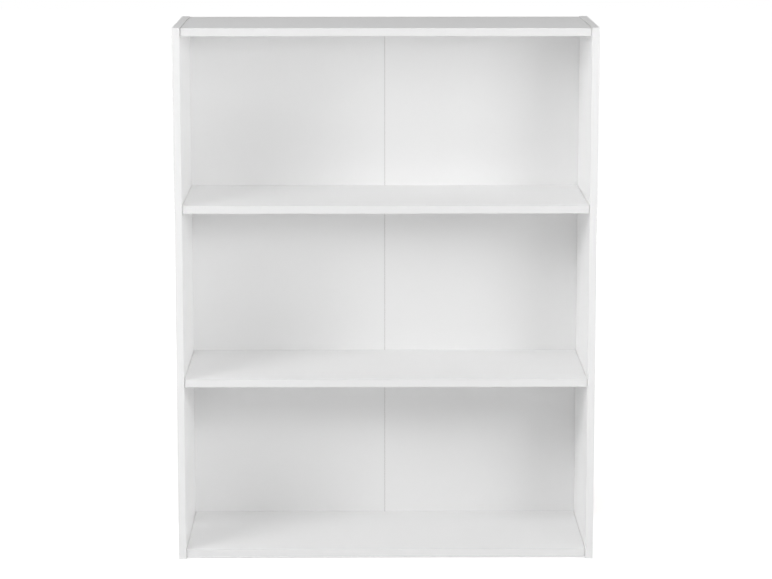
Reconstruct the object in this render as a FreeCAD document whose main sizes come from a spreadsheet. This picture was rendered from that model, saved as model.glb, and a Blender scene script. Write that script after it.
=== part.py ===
import FreeCAD, Part
import math
import os
import Sketcher

# Open bookcase of melamine-faced boards that ships flat and is put together with cam locks.
# Two full-height sides carry a bottom board, two fixed shelves and a top board. A thin back,
# folded down the middle, slides in grooves of the sides.
# Frame: millimetres, +Z up, +X to the right seen from the front, +Y to the back. The origin
# is on the floor under the middle of the bookcase.

SIZES = (
    # carcass
    ("overall_width", 800.0),
    ("overall_depth", 300.0),
    ("board_thickness", 15.0),
    ("compartment_height", 320.0),
    ("floor_clearance", 4.0),  # underside of the bottom board above the floor
    ("side_rise", 1.0),  # sides above the top board
    ("front_recess", 3.0),  # boards behind the sides' front edges
    ("joint_gap", 0.5),  # hairline between a board's end and a side
    # edge bands
    ("band_thickness", 1.0),
    ("band_radius", 0.6),
    # back
    ("panel_thickness", 3.0),
    ("panel_setback", 5.0),  # panel's rear face in front of the sides' rear edges
    ("panel_gap", 0.2),  # hairline between the boards' rear edges and the panel
    ("groove_depth", 6.0),
    ("groove_play", 0.2),  # on each face of the panel
    ("groove_end_play", 0.5),  # panel's edge to the groove's floor
    ("fold_gap", 0.4),
    ("tape_width", 40.0),
    ("tape_thickness", 0.3),
    # cam locks of the bottom and top boards
    ("cam_inset", 50.0),  # cam from the front and from the rear of its board
    ("cam_backset", 24.0),  # cam from the end of its board
    ("cam_bore_diameter", 15.0),
    ("cam_bore_floor", 2.5),  # board left above the cam
    ("cam_play", 0.1),
    ("cam_wall", 3.0),  # claw that the bolt's head pulls on
    ("cam_chamber_length", 7.0),
    ("drive_length", 7.0),  # cross recess
    ("drive_width", 1.4),
    ("drive_depth", 2.0),
    # cam bolts
    ("bolt_hole_diameter", 5.0),  # in the side
    ("bolt_hole_floor", 4.0),  # side left behind the hole
    ("bolt_bore_diameter", 8.0),  # in the end of the board
    ("bolt_play", 0.05),
    ("bolt_end_play", 0.5),
    ("shank_diameter", 4.4),
    ("head_diameter", 6.6),
    ("head_length", 4.0),
    ("chamber_play", 0.3),  # shank and head in the cam
    ("seat_gap", 0.1),  # bolt head to the claws of the cam
    # dowels of the shelves
    ("dowel_inset", 60.0),  # dowel from the front and from the rear of its shelf
    ("dowel_diameter", 8.0),
    ("dowel_play", 0.05),
    ("dowel_end_play", 0.5),
    ("dowel_side_floor", 4.0),  # side left behind the hole
    ("dowel_shelf_depth", 21.0),
    ("flute_depth", 0.4),
)

# Boards from the floor up, each with what holds its ends; its level is its place here.
BOARDS = (
    ("bottom_board", "cams"),
    ("lower_shelf", "dowels"),
    ("upper_shelf", "dowels"),
    ("top_board", "cams"),
)
SPANS = len(BOARDS) - 1
FLUTES = 12
FULL_TURN = 360.0

# Where sketch geometry starts, before its constraints place it.
ROUGH_RADIUS = 2.0
ROUGH_SPACING = 20.0
TOLERANCE = 1e-6

# Places worked out from the driving sizes, as expressions on the sheet.
OUTER = "(sizes.overall_width / 2)"
INNER = f"({OUTER} - sizes.board_thickness)"
BOARD_END = f"({INNER} - sizes.joint_gap)"
SIDE_FRONT = "(-sizes.overall_depth / 2)"
SIDE_REAR = "(sizes.overall_depth / 2)"
SIDE_CORE_FRONT = f"({SIDE_FRONT} + sizes.band_thickness)"
BOARD_FRONT = f"({SIDE_FRONT} + sizes.front_recess)"
BOARD_CORE_FRONT = f"({BOARD_FRONT} + sizes.band_thickness)"
PANEL_REAR = f"({SIDE_REAR} - sizes.panel_setback)"
PANEL_FRONT = f"({PANEL_REAR} - sizes.panel_thickness)"
BOARD_REAR = f"({PANEL_FRONT} - sizes.panel_gap)"
PITCH = "(sizes.board_thickness + sizes.compartment_height)"
MID_BOARD = "(sizes.board_thickness / 2)"
TOP = f"(sizes.floor_clearance + {SPANS} * {PITCH} + sizes.board_thickness)"
HEIGHT = f"({TOP} + sizes.side_rise)"
CORE_HEIGHT = f"({HEIGHT} - sizes.band_thickness)"
GROOVE_FRONT = f"({PANEL_FRONT} - sizes.groove_play)"
GROOVE_REAR = f"({PANEL_REAR} + sizes.groove_play)"
PANEL_EDGE = f"({INNER} + sizes.groove_depth - sizes.groove_end_play)"
BAND_FILLET = "min(sizes.band_radius; sizes.band_thickness * 0.9)"
CAM_ROWS = (f"({BOARD_FRONT} + sizes.cam_inset)", f"({BOARD_REAR} - sizes.cam_inset)")
DOWEL_ROWS = (f"({BOARD_FRONT} + sizes.dowel_inset)", f"({BOARD_REAR} - sizes.dowel_inset)")
CAM_BORE_DEPTH = "(sizes.board_thickness - sizes.cam_bore_floor)"
CAM_RADIUS = "(sizes.cam_bore_diameter / 2 - sizes.cam_play)"
CAM_CLAW = f"({CAM_RADIUS} - sizes.cam_wall)"
CAM_HEIGHT = f"({CAM_BORE_DEPTH} - sizes.cam_play)"
CAM_X = f"({BOARD_END} - sizes.cam_backset)"
BOLT_HOLE_DEPTH = "(sizes.board_thickness - sizes.bolt_hole_floor)"
DOWEL_SIDE_DEPTH = "(sizes.board_thickness - sizes.dowel_side_floor)"

doc = FreeCAD.newDocument("bookcase")


def fill_sheet():
    sheet = doc.addObject("Spreadsheet::Sheet", "sizes")
    for row, (alias, value) in enumerate(SIZES, start=1):
        sheet.set(f"A{row}", alias)
        sheet.set(f"B{row}", str(value))
        sheet.setAlias(f"B{row}", alias)
    doc.recompute()


# ---- sketches and features -------------------------------------------------------------


def new_body(name):
    body = doc.addObject("PartDesign::Body", name)
    body.Label = name
    return body


def origin_part(body, role):
    """A plane or axis of the body's own origin."""
    return next(part for part in body.Origin.OriginFeatures if part.Role == role)


def new_sketch(body, name, role, offset=None):
    """A sketch on an origin plane, moved along the plane's normal by offset."""
    sketch = body.newObject("Sketcher::SketchObject", name)
    sketch.AttachmentSupport = [(origin_part(body, role), "")]
    sketch.MapMode = "FlatFace"
    if offset:
        sketch.setExpression("AttachmentOffset.Base.z", offset)
    return sketch


def bind(sketch, kind, geometry, point, value):
    """Ties one coordinate of a point to an expression; "0" puts the point on the axis."""
    if value == "0":
        axis = -1 if kind == "DistanceY" else -2
        sketch.addConstraint(Sketcher.Constraint("PointOnObject", geometry, point, axis))
        return
    index = sketch.addConstraint(Sketcher.Constraint(kind, -1, 1, geometry, point, 1.0))
    sketch.setExpression(f"Constraints[{index}]", value)


def polygon(body, name, role, corners, offset=None):
    """A closed outline through corners, each given as two expressions.

    The corners start along a curve, so that no edge starts with no length.
    """
    sketch = new_sketch(body, name, role, offset)
    count = len(corners)
    rough = [FreeCAD.Vector(index + 1, index * index + 1, 0) for index in range(count)]
    for index in range(count):
        sketch.addGeometry(Part.LineSegment(rough[index], rough[(index + 1) % count]))
    for index in range(count):
        following = (index + 1) % count
        sketch.addConstraint(Sketcher.Constraint("Coincident", index, 2, following, 1))
    for index, (across, up) in enumerate(corners):
        bind(sketch, "DistanceX", index, 1, across)
        bind(sketch, "DistanceY", index, 1, up)
    return sketch


def rectangle(body, name, role, across, up, offset=None):
    """A rectangle from across[0] to across[1] and from up[0] to up[1]."""
    corners = [(across[0], up[0]), (across[1], up[0]), (across[1], up[1]), (across[0], up[1])]
    return polygon(body, name, role, corners, offset)


def circles(body, name, role, centres, diameter, offset=None):
    sketch = new_sketch(body, name, role, offset)
    normal = FreeCAD.Vector(0, 0, 1)
    for index, (across, up) in enumerate(centres):
        middle = FreeCAD.Vector(ROUGH_SPACING * index, 1, 0)
        sketch.addGeometry(Part.Circle(middle, normal, ROUGH_RADIUS))
        bind(sketch, "DistanceX", index, 3, across)
        bind(sketch, "DistanceY", index, 3, up)
        rough = Sketcher.Constraint("Diameter", index, 2 * ROUGH_RADIUS)
        round_size = sketch.addConstraint(rough)
        sketch.setExpression(f"Constraints[{round_size}]", diameter)
    return sketch


def pad(body, sketch, length):
    feature = body.newObject("PartDesign::Pad", f"{sketch.Name}_pad")
    feature.Profile = sketch
    feature.setExpression("Length", length)
    sketch.Visibility = False
    doc.recompute()
    return feature


def pocket(body, sketch, depth=None, along_normal=False):
    """Cuts the sketch to a depth, or right through, against the sketch's normal or along it."""
    before = body.Shape.Volume
    feature = body.newObject("PartDesign::Pocket", f"{sketch.Name}_pocket")
    feature.Profile = sketch
    feature.Reversed = along_normal
    if depth:
        feature.setExpression("Length", depth)
    else:
        feature.Type = "ThroughAll"
    sketch.Visibility = False
    doc.recompute()
    if not body.Shape.Volume < before:
        raise RuntimeError(f"{feature.Name} cuts nothing")
    return feature


def revolve(body, sketch):
    """Turns the profile a full turn about the sketch's horizontal axis."""
    feature = body.newObject("PartDesign::Revolution", f"{sketch.Name}_turned")
    feature.Profile = sketch
    feature.ReferenceAxis = (sketch, ["H_Axis"])
    feature.Angle = FULL_TURN
    sketch.Visibility = False
    doc.recompute()
    return feature


def mirror_across(body, name, features):
    """Repeats the features of one end at the other end."""
    mirrored = body.newObject("PartDesign::Mirrored", name)
    mirrored.Originals = features
    mirrored.MirrorPlane = (origin_part(body, "YZ_Plane"), [""])
    body.Tip = mirrored
    doc.recompute()


def round_long_edges(body, base, along, face):
    """Fillets the edges that run along one axis and lie in the outermost plane of another.

    along is the axis of the edges; face is (axis, side), side being -1 for the lowest plane.
    """
    axis, side = face
    box = base.Shape.BoundBox
    limits = {"Y": (box.YMin, box.YMax), "Z": (box.ZMin, box.ZMax)}
    plane = limits[axis][0 if side < 0 else 1]
    names = []
    for number, edge in enumerate(base.Shape.Edges, start=1):
        start, end = edge.Vertexes[0].Point, edge.Vertexes[-1].Point
        run = (end - start).normalize()
        lies_along = abs(getattr(run, along)) > 1 - TOLERANCE
        in_plane = abs(getattr(edge.CenterOfMass, axis.lower()) - plane) < TOLERANCE
        if lies_along and in_plane:
            names.append(f"Edge{number}")
    fillet = body.newObject("PartDesign::Fillet", f"{body.Name}_arris")
    fillet.Base = (base, names)
    fillet.setExpression("Radius", BAND_FILLET)
    doc.recompute()


def group(name, fitting, places):
    """Copies of one fitting as one sub-part; a place is x, y, z and a turn about Z."""
    copies = []
    for number, (x, y, z, turn) in enumerate(places, start=1):
        copy = doc.addObject("App::Link", f"{name}_{number}")
        copy.LinkedObject = fitting
        upright = FreeCAD.Rotation(FreeCAD.Vector(0, 0, 1), turn)
        copy.Placement = FreeCAD.Placement(FreeCAD.Vector(), upright)
        copy.setExpression("Placement.Base.x", x)
        copy.setExpression("Placement.Base.y", y)
        copy.setExpression("Placement.Base.z", z)
        copies.append(copy)
    compound = doc.addObject("Part::Compound", name)
    compound.Label = name
    compound.Links = copies
    doc.recompute()
    return compound


# ---- carcass ---------------------------------------------------------------------------


def underside(level):
    """Height of a board's lower face."""
    return f"(sizes.floor_clearance + {level} * {PITCH})"


def mid_heights(kind):
    """Mid-heights of the boards whose ends are held by one kind of fitting."""
    levels = [level for level, board in enumerate(BOARDS) if board[1] == kind]
    return [f"({underside(level)} + {MID_BOARD})" for level in levels]


def groove_cut(body, hand):
    """The groove of the back, open at both ends of the piece."""
    across = (f"{hand} * {INNER}", f"{hand} * ({INNER} + sizes.groove_depth)")
    along = (GROOVE_FRONT, GROOVE_REAR)
    groove = rectangle(body, f"{body.Name}_groove", "XY_Plane", across, along)
    pocket(body, groove, along_normal=True)


def make_side(name, hand):
    """A side; hand is -1 for the left one and 1 for the right one."""
    inner, outer = f"{hand} * {INNER}", f"{hand} * {OUTER}"
    body = new_body(name)
    core = rectangle(
        body, f"{name}_core", "XY_Plane", (inner, outer), (SIDE_CORE_FRONT, SIDE_REAR)
    )
    pad(body, core, CORE_HEIGHT)
    groove_cut(body, hand)
    drillings = (
        ("bolt_holes", CAM_ROWS, "cams", "sizes.bolt_hole_diameter", BOLT_HOLE_DEPTH),
        ("dowel_holes", DOWEL_ROWS, "dowels", "sizes.dowel_diameter", DOWEL_SIDE_DEPTH),
    )
    for word, rows, kind, diameter, depth in drillings:
        centres = [(row, height) for height in mid_heights(kind) for row in rows]
        sketch = circles(body, f"{name}_{word}", "YZ_Plane", centres, diameter, inner)
        pocket(body, sketch, depth, along_normal=hand > 0)
    return body


def make_side_front_band(name, hand):
    body = new_body(name)
    across = (f"{hand} * {INNER}", f"{hand} * {OUTER}")
    strip = rectangle(body, f"{name}_strip", "XY_Plane", across, (SIDE_FRONT, SIDE_CORE_FRONT))
    base = pad(body, strip, HEIGHT)
    round_long_edges(body, base, "z", ("Y", -1))
    return body


def make_side_top_band(name, hand):
    """Covers the top end of a side; the groove of the back runs through it."""
    body = new_body(name)
    across = (f"{hand} * {INNER}", f"{hand} * {OUTER}")
    along = (SIDE_CORE_FRONT, SIDE_REAR)
    strip = rectangle(body, f"{name}_strip", "XY_Plane", across, along, CORE_HEIGHT)
    base = pad(body, strip, "sizes.band_thickness")
    round_long_edges(body, base, "y", ("Z", 1))
    groove_cut(body, hand)
    return body


def make_board(name, level, kind):
    """A board between the sides, with holes in both ends and cam bores underneath."""
    body = new_body(name)
    body.setExpression("Placement.Base.z", underside(level))
    ends = (f"-{BOARD_END}", BOARD_END)
    core = rectangle(body, f"{name}_core", "XY_Plane", ends, (BOARD_CORE_FRONT, BOARD_REAR))
    pad(body, core, "sizes.board_thickness")
    if kind == "cams":
        below = [(CAM_X, row) for row in CAM_ROWS]
        sketch = circles(body, f"{name}_cam_bores", "XY_Plane", below, "sizes.cam_bore_diameter")
        cuts = [pocket(body, sketch, CAM_BORE_DEPTH, along_normal=True)]
        word, rows, diameter = "bolt_bores", CAM_ROWS, "sizes.bolt_bore_diameter"
        depth = "sizes.cam_backset"
    else:
        cuts = []
        word, rows, diameter = "dowel_holes", DOWEL_ROWS, "sizes.dowel_diameter"
        depth = "sizes.dowel_shelf_depth"
    centres = [(row, MID_BOARD) for row in rows]
    sketch = circles(body, f"{name}_{word}", "YZ_Plane", centres, diameter, BOARD_END)
    cuts.append(pocket(body, sketch, depth))
    mirror_across(body, f"{name}_left_end", cuts)
    return body


def make_board_front_band(name, level):
    body = new_body(name)
    body.setExpression("Placement.Base.z", underside(level))
    ends = (f"-{BOARD_END}", BOARD_END)
    strip = rectangle(body, f"{name}_strip", "XY_Plane", ends, (BOARD_FRONT, BOARD_CORE_FRONT))
    base = pad(body, strip, "sizes.board_thickness")
    round_long_edges(body, base, "x", ("Y", -1))
    return body


# ---- back ------------------------------------------------------------------------------


def make_back_half(name, hand):
    """One half of the folded back, from the fold into the groove of its side."""
    body = new_body(name)
    across = (f"{hand} * sizes.fold_gap / 2", f"{hand} * {PANEL_EDGE}")
    up = ("sizes.floor_clearance", TOP)
    sheet = rectangle(body, f"{name}_sheet", "XZ_Plane", across, up, f"-{PANEL_REAR}")
    pad(body, sheet, "sizes.panel_thickness")
    return body


def make_fold_tape(name):
    """The strip behind the fold that hinges the two halves."""
    body = new_body(name)
    across = ("-sizes.tape_width / 2", "sizes.tape_width / 2")
    along = (PANEL_REAR, f"{PANEL_REAR} + sizes.tape_thickness")
    strip = rectangle(body, f"{name}_strip", "XY_Plane", across, along, "sizes.floor_clearance")
    pad(body, strip, f"{TOP} - sizes.floor_clearance")
    return body


# ---- fittings --------------------------------------------------------------------------


def make_cam():
    """A cam, its face at z = 0 and its mouth towards -X, where the bolt comes in.

    Above the face it is open: the bolt's shank passes between two claws and its head lies
    in the chamber behind them. The face has a cross recess for the screwdriver.
    """
    body = new_body("cam")
    drum = circles(body, "cam_drum", "XY_Plane", [("0", "0")], f"2 * {CAM_RADIUS}")
    pad(body, drum, CAM_HEIGHT)
    outside = f"-({CAM_RADIUS} + sizes.cam_play)"
    claw = f"-{CAM_CLAW}"
    back = f"({claw} + sizes.cam_chamber_length)"
    mouth = "(sizes.shank_diameter / 2 + sizes.chamber_play)"
    head = "(sizes.head_diameter / 2 + sizes.chamber_play)"
    chamber = polygon(
        body,
        "cam_chamber",
        "XY_Plane",
        [
            (outside, f"-{mouth}"),
            (claw, f"-{mouth}"),
            (claw, f"-{head}"),
            (back, f"-{head}"),
            (back, head),
            (claw, head),
            (claw, mouth),
            (outside, mouth),
        ],
        CAM_HEIGHT,
    )
    pocket(body, chamber, f"{CAM_HEIGHT} - {MID_BOARD} + {head}")
    length = ("-sizes.drive_length / 2", "sizes.drive_length / 2")
    width = ("-sizes.drive_width / 2", "sizes.drive_width / 2")
    for name, across, up in (("cam_drive_x", length, width), ("cam_drive_y", width, length)):
        recess = rectangle(body, name, "XY_Plane", across, up)
        pocket(body, recess, "sizes.drive_depth", along_normal=True)
    return body


def make_bolt():
    """A bolt along X: its thread in the side at x < 0, its head behind the claws of the cam."""
    body = new_body("bolt")
    tip = f"-({BOLT_HOLE_DEPTH} - sizes.bolt_end_play)"
    thread = "(sizes.bolt_hole_diameter / 2 - sizes.bolt_play)"
    shank = "sizes.shank_diameter / 2"
    head = "sizes.head_diameter / 2"
    seat = f"(sizes.joint_gap + sizes.cam_backset - {CAM_CLAW} + sizes.seat_gap)"
    crown = f"({seat} + sizes.head_length)"
    profile = polygon(
        body,
        "bolt_profile",
        "XZ_Plane",
        [
            (tip, "0"),
            (tip, thread),
            ("0", thread),
            ("0", shank),
            (seat, shank),
            (seat, head),
            (crown, head),
            (crown, "0"),
        ],
    )
    revolve(body, profile)
    return body


def make_dowel():
    """A fluted dowel along X, x = 0 at the side's inner face."""
    body = new_body("dowel")
    start = f"-({DOWEL_SIDE_DEPTH} - sizes.dowel_end_play)"
    end = "(sizes.joint_gap + sizes.dowel_shelf_depth - sizes.dowel_end_play)"
    crest = "(sizes.dowel_diameter / 2 - sizes.dowel_play)"
    root = f"({crest} - sizes.flute_depth)"
    corners = []
    for step in range(2 * FLUTES):
        angle = math.pi * (step + 0.5) / FLUTES
        radius = root if step % 2 else crest
        corners.append((f"{radius} * {math.cos(angle):.9f}", f"{radius} * {math.sin(angle):.9f}"))
    section = polygon(body, "dowel_section", "YZ_Plane", corners, start)
    pad(body, section, f"{end} - {start}")
    return body


def make_fittings():
    """Cams and bolts of the bottom and top boards, dowels of the shelves."""
    cam, bolt, dowel = make_cam(), make_bolt(), make_dowel()
    ends = ((-1, 0.0), (1, 180.0))
    made = []
    for level, (board, kind) in enumerate(BOARDS):
        low = underside(level)
        middle = f"{low} + {MID_BOARD}"
        rows = CAM_ROWS if kind == "cams" else DOWEL_ROWS
        at_ends = [(f"{hand} * {INNER}", row, middle, turn) for hand, turn in ends for row in rows]
        if kind == "cams":
            below = [(f"{hand} * {CAM_X}", row, low, turn) for hand, turn in ends for row in rows]
            made.append(group(f"{board}_cams", cam, below))
            made.append(group(f"{board}_cam_bolts", bolt, at_ends))
        else:
            made.append(group(f"{board}_dowels", dowel, at_ends))
    return made


# ---- the bookcase ----------------------------------------------------------------------


def make_bookcase():
    fill_sheet()
    made = []
    for word, hand in (("left", -1), ("right", 1)):
        made.append(make_side(f"{word}_side", hand))
        made.append(make_side_front_band(f"{word}_side_front_band", hand))
        made.append(make_side_top_band(f"{word}_side_top_band", hand))
        made.append(make_back_half(f"back_panel_{word}", hand))
    for level, (name, kind) in enumerate(BOARDS):
        made.append(make_board(name, level, kind))
        made.append(make_board_front_band(f"{name}_front_band", level))
    made.append(make_fold_tape("back_fold_tape"))
    return made + make_fittings()


def check(made):
    for part in doc.Objects:
        if "Invalid" in part.State or "Error" in part.State:
            raise RuntimeError(f"{part.Name} failed: {part.State}")
    for part in made:
        if part.Shape.isNull() or not part.Shape.isValid():
            raise RuntimeError(f"{part.Label} has no sound shape")


def write(made):
    os.makedirs("parts", exist_ok=True)
    for part in made:
        part.Shape.exportStep(f"parts/{part.Label}.step")


subparts = make_bookcase()
doc.recompute()
check(subparts)
write(subparts)
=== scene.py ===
import math
from collections import namedtuple

import bmesh
import bpy
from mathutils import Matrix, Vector


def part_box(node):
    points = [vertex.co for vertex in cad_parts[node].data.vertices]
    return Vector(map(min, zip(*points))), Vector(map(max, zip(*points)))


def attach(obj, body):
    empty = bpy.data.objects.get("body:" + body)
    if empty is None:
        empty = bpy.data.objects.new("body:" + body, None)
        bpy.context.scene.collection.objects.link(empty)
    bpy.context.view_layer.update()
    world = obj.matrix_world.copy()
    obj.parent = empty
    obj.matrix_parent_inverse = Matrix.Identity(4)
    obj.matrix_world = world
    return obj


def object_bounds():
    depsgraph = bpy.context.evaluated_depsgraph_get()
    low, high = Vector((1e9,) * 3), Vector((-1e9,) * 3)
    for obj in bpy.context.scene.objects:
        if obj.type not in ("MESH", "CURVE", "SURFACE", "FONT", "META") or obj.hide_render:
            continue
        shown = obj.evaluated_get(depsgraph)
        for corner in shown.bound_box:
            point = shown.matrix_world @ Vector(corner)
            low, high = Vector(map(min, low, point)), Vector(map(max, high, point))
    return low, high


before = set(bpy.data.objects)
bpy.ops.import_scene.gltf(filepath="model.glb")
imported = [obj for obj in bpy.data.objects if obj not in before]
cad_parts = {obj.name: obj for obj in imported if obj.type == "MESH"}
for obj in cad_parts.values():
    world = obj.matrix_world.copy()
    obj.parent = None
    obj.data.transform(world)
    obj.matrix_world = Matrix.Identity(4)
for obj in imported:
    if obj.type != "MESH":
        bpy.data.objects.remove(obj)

# Open white bookcase. The boards, the folded back and the fittings are CAD nodes, which get
# their materials here. The nails of the back are modelled here, and the scene adds the floor,
# the lamps and the camera. Metres, +Z up, the open front faces -Y.

MM = 0.001
CAD_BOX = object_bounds()

SIDES = ("left_side", "right_side")
BOARDS = ("bottom_board", "lower_shelf", "upper_shelf", "top_board")
CAM_BOARDS = (BOARDS[0], BOARDS[-1])
DOWEL_BOARDS = BOARDS[1:-1]


def add_object(name, data):
    thing = bpy.data.objects.new(name, data)
    bpy.context.scene.collection.objects.link(thing)
    return thing


def finished_mesh(name, form, material):
    """A mesh made from a bmesh, which is freed, and given its material."""
    mesh = bpy.data.meshes.new(name)
    form.to_mesh(mesh)
    form.free()
    mesh.materials.append(material)
    return mesh


# ---- node trees ------------------------------------------------------------------------

FACING = 0.5  # a face looks along an axis where its normal has more than this on it
MOST_NOISE = (0.3, 0.7)  # the range that most of a noise stays in
ALL_NOISE = (0.2, 0.8)  # and the one that nearly all of it does


class Look:
    """A material under construction: its tree, its shader and short ways to add nodes."""

    def __init__(self, name):
        self.material = bpy.data.materials.new(name)
        self.material.use_nodes = True
        self.tree = self.material.node_tree
        self.shader = self.tree.nodes["Principled BSDF"]
        self.place = self.node("ShaderNodeTexCoord").outputs["Object"]

    def node(self, kind, inputs=None, **settings):
        """Adds a node; an input is a number, a colour or another node's output."""
        node = self.tree.nodes.new(kind)
        for name, value in settings.items():
            setattr(node, name, value)
        for key, value in (inputs or {}).items():
            if isinstance(value, bpy.types.NodeSocket):
                self.tree.links.new(value, node.inputs[key])
            else:
                node.inputs[key].default_value = value
        return node

    def compute(self, operation, *values):
        inputs = dict(enumerate(values))
        return self.node("ShaderNodeMath", inputs, operation=operation).outputs[0]

    def axis(self, vector, letter):
        """One component of a vector."""
        split = self.node("ShaderNodeSeparateXYZ", {"Vector": vector})
        return split.outputs[letter]

    def normal(self, letter):
        """One component of the direction that the face looks in."""
        geometry = self.node("ShaderNodeNewGeometry")
        return self.axis(geometry.outputs["True Normal"], letter)

    def faces_along(self, letter):
        """1 on the faces that look along an axis, either way, and 0 on the others."""
        return self.compute("GREATER_THAN", self.compute("ABSOLUTE", self.normal(letter)), FACING)

    def faces_front(self):
        """1 on the faces that look to the front, and 0 on the others."""
        return self.compute("LESS_THAN", self.normal("Y"), -FACING)

    def stretched(self, *factors):
        """The object's coordinates times a factor per axis: a small one makes long marks."""
        node = self.node("ShaderNodeMapping", {"Vector": self.place, "Scale": factors})
        return node.outputs[0]

    def noise(self, per_metre, detail=3.0, rough=0.5, vector=None):
        """Clouds from 0 to 1, with about this many in a metre."""
        inputs = {
            "Vector": vector or self.place,
            "Scale": per_metre,
            "Detail": detail,
            "Roughness": rough,
        }
        return self.node("ShaderNodeTexNoise", inputs).outputs["Fac"]

    def cells(self, per_metre, vector):
        """Packed cells: a random colour for each, and the distance from its middle."""
        inputs = {"Vector": vector, "Scale": per_metre}
        outputs = self.node("ShaderNodeTexVoronoi", inputs).outputs
        return outputs["Color"], outputs["Distance"]

    def span(self, value, source, target=(0.0, 1.0)):
        """Maps the source range to the target range, clamped."""
        inputs = dict(enumerate((value, *source, *target)))
        return self.node("ShaderNodeMapRange", inputs).outputs[0]

    def mix(self, share, first, second):
        """first where share is 0 and second where it is 1, for numbers."""
        inputs = {0: share, 2: first, 3: second}
        return self.node("ShaderNodeMix", inputs, data_type="FLOAT").outputs[0]

    def blend(self, share, first, second):
        """The same for colours."""
        inputs = {0: share, 6: first, 7: second}
        return self.node("ShaderNodeMix", inputs, data_type="RGBA").outputs[2]

    def join(self, key, value):
        """Feeds a socket of the shader, or sets it where the value is uniform."""
        socket = self.shader.inputs[key]
        if isinstance(value, bpy.types.NodeSocket):
            self.tree.links.new(value, socket)
        else:
            socket.default_value = value

    def relief(self, height, depth):
        """Bump of the given depth in metres where height runs from 0 to 1."""
        inputs = {"Height": height, "Distance": depth, "Strength": 1.0}
        self.join("Normal", self.node("ShaderNodeBump", inputs).outputs[0])


# ---- materials -------------------------------------------------------------------------


def rgb(red, green, blue):
    return (red, green, blue, 1.0)


def grey(level):
    return rgb(level, level, level)


# Linear levels of the whites, and how far each one wanders up and down.
WHITE = 0.94
SIDE_BAND_WHITE = 0.855
BOARD_BAND_WHITE = 0.81
WHITE_DRIFT = 0.012

# Linear colours; a pair is the darkest and the palest tone.
CHIPS = rgb(0.30, 0.19, 0.10), rgb(0.60, 0.44, 0.27)
CHIP_FLOUR = rgb(0.48, 0.34, 0.20)
FIBRES = rgb(0.17, 0.095, 0.05), rgb(0.36, 0.225, 0.13)
FIBRE_SPECKS = rgb(0.45, 0.31, 0.19)
PAPER = rgb(0.62, 0.58, 0.50), rgb(0.80, 0.77, 0.69)
GUM = rgb(0.05, 0.03, 0.015), rgb(0.10, 0.065, 0.035)
ZINC = grey(0.50), grey(0.66)
STEEL = grey(0.58), grey(0.72)
BEECH = rgb(0.50, 0.32, 0.17), rgb(0.70, 0.50, 0.31)
BEECH_FLECKS = rgb(0.33, 0.19, 0.09)

COAT_RELIEF = 0.08  # a white coat's relief, as a share of the bare board's

Finish = namedtuple("Finish", "colour roughness height")


def white_skin(look, level):
    """Colour and height of a smooth white surface."""
    clouds = look.noise(2.5)
    fine = look.noise(1100.0, detail=2.0, rough=0.6)
    shade = look.mix(0.25, clouds, fine)
    colour = look.blend(shade, grey(level - WHITE_DRIFT), grey(level + WHITE_DRIFT))
    return colour, fine


def white_coat(look):
    """Satin white foil or lacquer."""
    colour, fine = white_skin(look, WHITE)
    roughness = look.span(look.noise(420.0), MOST_NOISE, (0.40, 0.50))
    return Finish(colour, roughness, fine)


def bare_chips(look):
    """Sawn edge of particleboard: chips of mixed tones, and flour between them."""
    tones, distance = look.cells(420.0, look.stretched(1.0, 1.0, 1.6))
    flour = look.noise(1500.0, rough=0.7)
    chips = look.blend(look.axis(tones, "X"), *CHIPS)
    colour = look.blend(look.span(flour, (0.35, 0.75)), chips, CHIP_FLOUR)
    pits = look.span(distance, (0.0, 0.6))
    return Finish(colour, roughness=0.88, height=look.mix(0.5, pits, flour))


def bare_fibres(look):
    """Brown, faintly meshed rear face of thin fibreboard."""
    fibres = look.noise(260.0, 5.0, 0.7, look.stretched(1.0, 1.0, 0.25))
    specks = look.noise(900.0, rough=0.6)
    brown = look.blend(fibres, *FIBRES)
    colour = look.blend(look.span(specks, (0.55, 0.8)), brown, FIBRE_SPECKS)
    return Finish(colour, roughness=0.8, height=look.mix(0.5, fibres, specks))


def split_by_face(look, share, coated, bare, depth):
    """Joins two finishes: the coated one where share is 1 and the bare one where it is 0."""
    look.join("Base Color", look.blend(share, bare.colour, coated.colour))
    look.join("Roughness", look.mix(share, bare.roughness, coated.roughness))
    coat = look.compute("MULTIPLY", coated.height, COAT_RELIEF)
    look.relief(look.mix(share, bare.height, coat), depth)


def melamine_board(name, thickness_axis):
    """White foil on the two faces of a board, bare chips on its sawn edges and in its holes."""
    look = Look(name)
    foil = look.faces_along(thickness_axis)
    split_by_face(look, foil, white_coat(look), bare_chips(look), 0.25 * MM)
    return look.material


def back_board():
    """Thin fibreboard with white lacquer on its front."""
    look = Look("back_board")
    split_by_face(look, look.faces_front(), white_coat(look), bare_fibres(look), 0.2 * MM)
    return look.material


def edge_band(name, level):
    """Smooth white plastic strip, a touch glossier than the foil."""
    look = Look(name)
    colour, fine = white_skin(look, level)
    look.join("Base Color", colour)
    look.join("Roughness", look.span(look.noise(300.0), MOST_NOISE, (0.34, 0.42)))
    look.relief(fine, 0.02 * MM)
    return look.material


def paper_tape():
    """Off-white paper tape with fine creases across it, brown on its gummed side."""
    look = Look("paper_tape")
    pulp = look.noise(700.0, detail=4.0, rough=0.7)
    creases = look.noise(90.0, 2.0, 0.5, look.stretched(0.3, 1.0, 6.0))
    paper = look.blend(look.mix(0.4, pulp, creases), *PAPER)
    look.join("Base Color", look.blend(look.faces_front(), paper, look.blend(pulp, *GUM)))
    look.join("Roughness", look.span(pulp, ALL_NOISE, (0.70, 0.85)))
    look.relief(look.mix(0.5, pulp, creases), 0.08 * MM)
    return look.material


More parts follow.
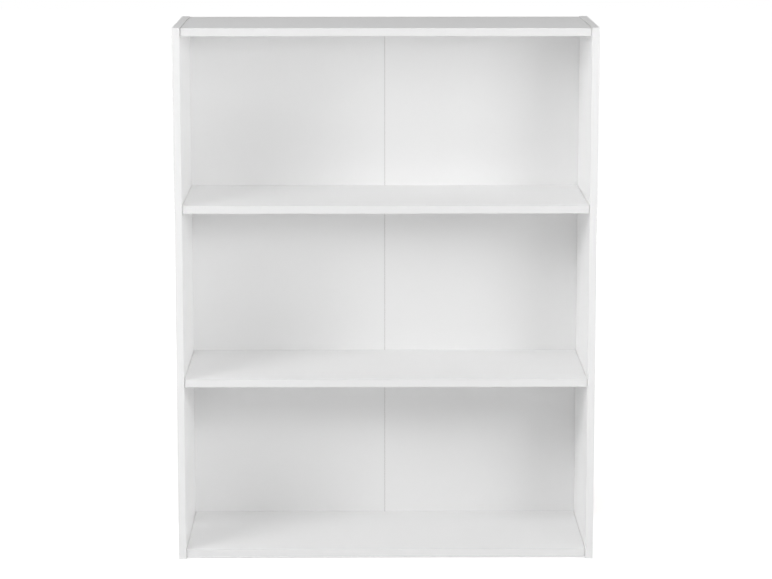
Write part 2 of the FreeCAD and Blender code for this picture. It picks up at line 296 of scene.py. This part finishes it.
def cast_zinc():
    """Dull die-cast metal with a grainy skin."""
    look = Look("cast_zinc")
    grain = look.noise(1600.0, rough=0.7)
    look.join("Metallic", 1.0)
    look.join("Base Color", look.blend(look.noise(160.0), *ZINC))
    look.join("Roughness", look.span(grain, MOST_NOISE, (0.38, 0.52)))
    look.relief(grain, 0.03 * MM)
    return look.material


def plated_steel():
    """Bright zinc-plated wire and screw stock, with faint drawing lines."""
    look = Look("plated_steel")
    lines = look.noise(600.0, 3.0, 0.6, look.stretched(0.1, 1.0, 1.0))
    look.join("Metallic", 1.0)
    look.join("Base Color", look.blend(lines, *STEEL))
    look.join("Roughness", look.span(lines, ALL_NOISE, (0.24, 0.36)))
    look.relief(lines, 0.02 * MM)
    return look.material


def beech():
    """Turned beech: straight grain along X with short dark flecks."""
    look = Look("beech")
    grain = look.noise(500.0, 4.0, 0.6, look.stretched(0.08, 1.0, 1.0))
    flecks = look.noise(1400.0, 2.0, 0.5, look.stretched(0.25, 1.0, 1.0))
    fleck_share = look.span(flecks, (0.6, 0.75))
    look.join("Base Color", look.blend(fleck_share, look.blend(grain, *BEECH), BEECH_FLECKS))
    look.join("Roughness", look.span(grain, ALL_NOISE, (0.55, 0.7)))
    look.relief(grain, 0.05 * MM)
    return look.material


def dress(material, *nodes):
    """Gives a material to CAD nodes, whose meshes stay as they are."""
    for node in nodes:
        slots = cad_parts[node].data.materials
        slots.clear()
        slots.append(material)


def dress_nodes(steel):
    """Every CAD node in its finish; the steel is also that of the nails."""
    dress(melamine_board("side_board", "X"), *SIDES)
    dress(melamine_board("board", "Z"), *BOARDS)
    side_bands = [f"{side}_{edge}_band" for side in SIDES for edge in ("front", "top")]
    dress(edge_band("side_edge_band", SIDE_BAND_WHITE), *side_bands)
    board_bands = [f"{board}_front_band" for board in BOARDS]
    dress(edge_band("board_edge_band", BOARD_BAND_WHITE), *board_bands)
    dress(back_board(), "back_panel_left", "back_panel_right")
    dress(paper_tape(), "back_fold_tape")
    dress(cast_zinc(), *[f"{board}_cams" for board in CAM_BOARDS])
    dress(steel, *[f"{board}_cam_bolts" for board in CAM_BOARDS])
    dress(beech(), *[f"{board}_dowels" for board in DOWEL_BOARDS])


# ---- nails of the back -----------------------------------------------------------------

NAIL_LENGTH = 18 * MM
NAIL_RADIUS = 0.7 * MM
NAIL_POINT = 2.5 * MM
HEAD_RADIUS = 2.6 * MM
HEAD_HEIGHT = 0.8 * MM
HEAD_RIM = 0.25 * MM
DOME_ANGLES = (15, 35, 55, 75, 90)  # degrees from the crown of the head to its rim
NAIL_STEPS = 20  # round the nail
NAIL_PLACES = (0.085, 0.210, 0.335)  # from the fold towards each side


def nail_profile():
    """Radius and height over the panel, from the crown of the head to the point."""
    bulge = HEAD_HEIGHT - HEAD_RIM
    dome = [
        (HEAD_RADIUS * math.sin(turn), HEAD_RIM + bulge * math.cos(turn))
        for turn in map(math.radians, DOME_ANGLES)
    ]
    shank_end = NAIL_POINT - NAIL_LENGTH
    return dome + [(HEAD_RADIUS, 0.0), (NAIL_RADIUS, 0.0), (NAIL_RADIUS, shank_end)]


def add_nail(form, place):
    """A nail driven along -Y, with its head on the panel at the given place."""
    rings = []
    for radius, height in nail_profile():
        ring = []
        for step in range(NAIL_STEPS):
            turn = 2 * math.pi * step / NAIL_STEPS
            offset = Vector((radius * math.cos(turn), height, -radius * math.sin(turn)))
            ring.append(form.verts.new(place + offset))
        rings.append(ring)
    crown = form.verts.new(place + Vector((0, HEAD_HEIGHT, 0)))
    point = form.verts.new(place - Vector((0, NAIL_LENGTH, 0)))
    for step in range(NAIL_STEPS):
        after = (step + 1) % NAIL_STEPS
        form.faces.new((crown, rings[0][step], rings[0][after]))
        form.faces.new((point, rings[-1][after], rings[-1][step]))
        for upper, lower in zip(rings, rings[1:]):
            form.faces.new((upper[step], lower[step], lower[after], upper[after]))


def nail_row(name, places, material):
    """The nails that hold the back to one board, as one piece."""
    form = bmesh.new()
    for place in places:
        add_nail(form, place)
    bmesh.ops.recalc_face_normals(form, faces=form.faces)
    for face in form.faces:
        face.smooth = True
    row = add_object(name, finished_mesh(name, form, material))
    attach(row, "root")


def nail_the_back(material):
    """A row of nails into the middle of each board's rear edge."""
    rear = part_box("back_panel_left")[1].y
    for board in BOARDS:
        low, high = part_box(board)
        middle = (low.z + high.z) / 2
        places = [Vector((hand * x, rear, middle)) for hand in (-1, 1) for x in NAIL_PLACES]
        nail_row(f"{board}_nails", places, material)


# ---- studio ----------------------------------------------------------------------------

FLOOR_SIZE = 30.0
FLOOR_GRID = 8  # squares along each side
FLOOR_COLOUR = 0.85
PAINTED_SHADE_GLOW = 0.62  # strength of the floor's own white under the bookcase, dimmed there as painted shade
PAINTED_SHADE_REACH = 1.4  # from the bookcase's footprint to where that strength is 1: how far the painted shade reaches
AMBIENT = 0.02  # strength of the light from all round


def background_rays(tree):
    """1 for rays that see the background: from the camera, a gloss or a glass."""
    path = tree.nodes.new("ShaderNodeLightPath")
    share = path.outputs["Is Camera Ray"]
    for kind in ("Is Glossy Ray", "Is Transmission Ray"):
        larger = tree.nodes.new("ShaderNodeMath")
        larger.operation = "MAXIMUM"
        tree.links.new(share, larger.inputs[0])
        tree.links.new(path.outputs[kind], larger.inputs[1])
        share = larger.outputs[0]
    return share


def floor_look():
    """White further out, and a little less near the bookcase: painted shade round its base, which
    also lets its real shadow show.
    """
    look = Look("floor")
    look.join("Base Color", grey(FLOOR_COLOUR))
    look.join("Roughness", 1.0)
    look.join("Specular IOR Level", 0.0)
    squares = []
    for letter, half in (("X", CAD_BOX[1].x), ("Y", CAD_BOX[1].y)):
        away = look.compute("ABSOLUTE", look.axis(look.place, letter))
        gap = look.compute("MAXIMUM", look.compute("SUBTRACT", away, half), 0.0)
        squares.append(look.compute("MULTIPLY", gap, gap))
    distance = look.compute("SQRT", look.compute("ADD", *squares))
    # The glow is dimmed near the bookcase: painted shade round its base.
    glow_with_painted_shade = look.span(distance, (0.0, PAINTED_SHADE_REACH), (PAINTED_SHADE_GLOW, 1.0))
    look.join("Emission Color", grey(1.0))
    look.join("Emission Strength", look.compute("MULTIPLY", glow_with_painted_shade, background_rays(look.tree)))
    return look.material


def make_floor():
    """White floor that the bookcase stands on, with painted shade round its base."""
    form = bmesh.new()
    bmesh.ops.create_grid(form, x_segments=FLOOR_GRID, y_segments=FLOOR_GRID, size=FLOOR_SIZE / 2)
    add_object("floor", finished_mesh("floor", form, floor_look()))


def make_world():
    """White where the background is seen, and a faint light from all round elsewhere."""
    world = bpy.data.worlds.new("studio")
    bpy.context.scene.world = world
    world.use_nodes = True
    tree = world.node_tree
    ambient = tree.nodes["Background"]
    ambient.inputs["Color"].default_value = grey(1.0)
    ambient.inputs["Strength"].default_value = AMBIENT
    seen = tree.nodes.new("ShaderNodeBackground")
    seen.inputs["Color"].default_value = grey(1.0)
    mix = tree.nodes.new("ShaderNodeMixShader")
    tree.links.new(background_rays(tree), mix.inputs[0])
    tree.links.new(ambient.outputs[0], mix.inputs[1])
    tree.links.new(seen.outputs[0], mix.inputs[2])
    tree.links.new(mix.outputs[0], tree.nodes["World Output"].inputs[0])


# Soft boxes: azimuth and elevation of their direction in degrees, distance from the bookcase's
# middle, width and height in metres, power in watts.
LAMPS = {
    "key": (-38.0, 30.0, 4.5, 1.0, 2.4, 28.5),
    "key_side": (-50.0, 22.0, 4.5, 1.0, 1.0, 25.5),
    "right": (28.0, 22.0, 4.5, 1.0, 1.0, 7.5),
    # Low and flat, so that the boards shade the back just under them.
    "left_strip": (-60.0, 16.0, 2.6, 1.0, 0.35, 9.0),
    "right_strip": (32.0, 16.0, 2.6, 1.0, 0.35, 12.0),
    "overhead": (0.0, 50.0, 4.6, 1.4, 1.4, 29.0),
    "top": (0.0, 80.0, 4.5, 2.4, 2.4, 22.5),
    "left_edge": (-60.0, 5.0, 2.6, 1.4, 1.4, 8.0),
    "right_edge": (60.0, 5.0, 4.5, 2.4, 2.4, 55.0),
    # Level with the bookcase and behind its front, for the sides' outer faces and the rear.
    "left_wall": (-105.0, 0.0, 4.5, 2.4, 0.95, 8.0),
    "right_wall": (105.0, 0.0, 4.5, 2.4, 0.95, 32.0),
    "rear_left": (-165.0, 0.0, 4.5, 2.4, 0.95, 62.0),
    "rear_right": (165.0, 0.0, 4.5, 2.4, 0.95, 62.0),
}


def direction(azimuth, elevation):
    """Unit vector at degrees from the front towards +X and degrees above the horizon."""
    turn, rise = math.radians(azimuth), math.radians(elevation)
    reach = math.cos(rise)
    return Vector((math.sin(turn) * reach, -math.cos(turn) * reach, math.sin(rise)))


def make_lamps():
    """Soft boxes that face the bookcase's middle."""
    middle = Vector((0, 0, CAD_BOX[1].z / 2))
    for name, (azimuth, elevation, distance, width, height, power) in LAMPS.items():
        data = bpy.data.lights.new(name, "AREA")
        data.shape = "RECTANGLE"
        data.size = width
        data.size_y = height
        data.energy = power
        towards = direction(azimuth, elevation)
        lamp = add_object(name, data)
        lamp.location = middle + distance * towards
        lamp.rotation_mode = "QUATERNION"
        lamp.rotation_quaternion = towards.to_track_quat("Z", "Y")


# The camera looks down and slightly to the right, by these angles in degrees.
CAMERA_PLACE = (-0.041, -5.150, 1.409)
CAMERA_DOWN = 9.98
CAMERA_RIGHT = 0.47
FOCAL_PIXELS = 2675.0
FRAME_WIDTH = 772  # pixels
SENSOR_WIDTH = 36.0  # in the camera's millimetres


def make_camera():
    data = bpy.data.cameras.new("camera")
    data.sensor_width = SENSOR_WIDTH
    data.lens = FOCAL_PIXELS / FRAME_WIDTH * SENSOR_WIDTH
    camera = add_object("camera", data)
    camera.location = CAMERA_PLACE
    camera.rotation_euler = (math.radians(90 - CAMERA_DOWN), 0, math.radians(-CAMERA_RIGHT))
    bpy.context.scene.camera = camera


# ---- the scene -------------------------------------------------------------------------

bpy.context.scene.view_settings.view_transform = "Standard"
make_camera()
steel = plated_steel()
dress_nodes(steel)
nail_the_back(steel)
make_floor()
make_world()
make_lamps()
